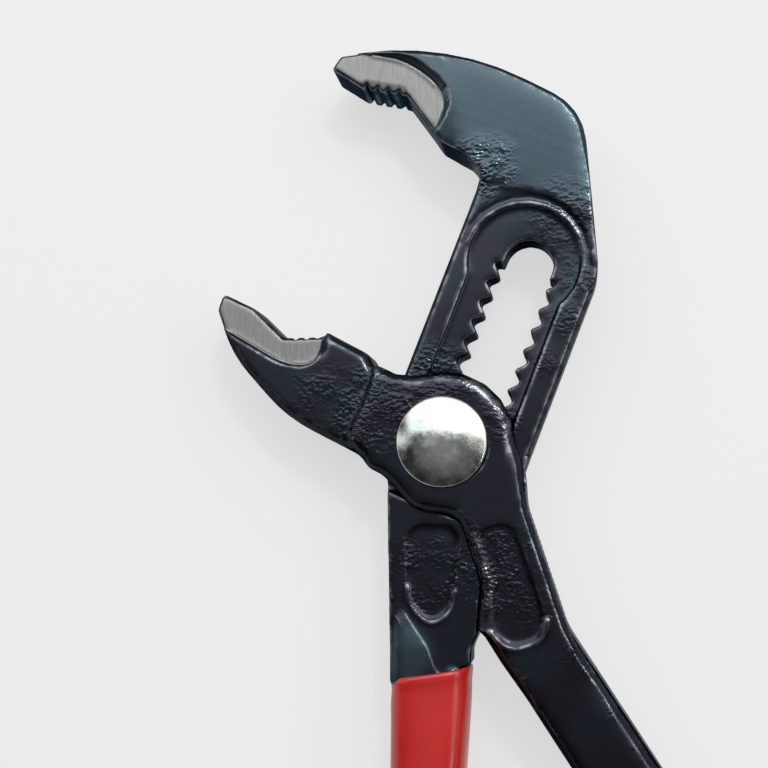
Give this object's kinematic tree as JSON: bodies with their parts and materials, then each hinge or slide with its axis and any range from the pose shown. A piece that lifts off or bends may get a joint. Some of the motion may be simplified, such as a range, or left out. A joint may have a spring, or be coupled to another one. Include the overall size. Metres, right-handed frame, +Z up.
{
  "type": "water pump pliers",
  "caption": "Adjustable box-joint pliers: a slotted upper lever with a hooked jaw runs through a lower lever on a domed rivet, with dipped grips on both handles.",
  "frame": {"origin": "on the pivot axis at the rest pose, in the plane that the tool lies on", "axes": "+Y along the tool towards the head, +Z up from the bench towards the rivet's dome, +X to the right with the jaws opening to the left"},
  "size_m": [0.1217, 0.2513, 0.0169],
  "materials": {
    "black_steel": "black oxide over forged steel, satin",
    "bright_steel": "polished",
    "core_steel": "machined",
    "red_grip": "glossy dipped coating"
  },
  "bodies": {
    "upper_lever": {"upper_lever": "black_steel", "upper_grip": "red_grip"},
    "pivot": {"pivot_rivet": "bright_steel"},
    "lower_lever": {"lower_lever": "black_steel", "locking_core": "core_steel", "lower_grip": "red_grip"}
  },
  "joints": [
    {"name": "jaw_setting", "type": "slide", "parent": "upper_lever", "child": "pivot", "axis": [0.3584, 0.9336, 0], "range_m": [0, 0.036]},
    {"name": "jaw_close", "type": "hinge", "parent": "pivot", "child": "lower_lever", "pos_m": [0, 0, 0], "axis": [0, 0, -1], "range_deg": [-6, 8]}
  ]
}
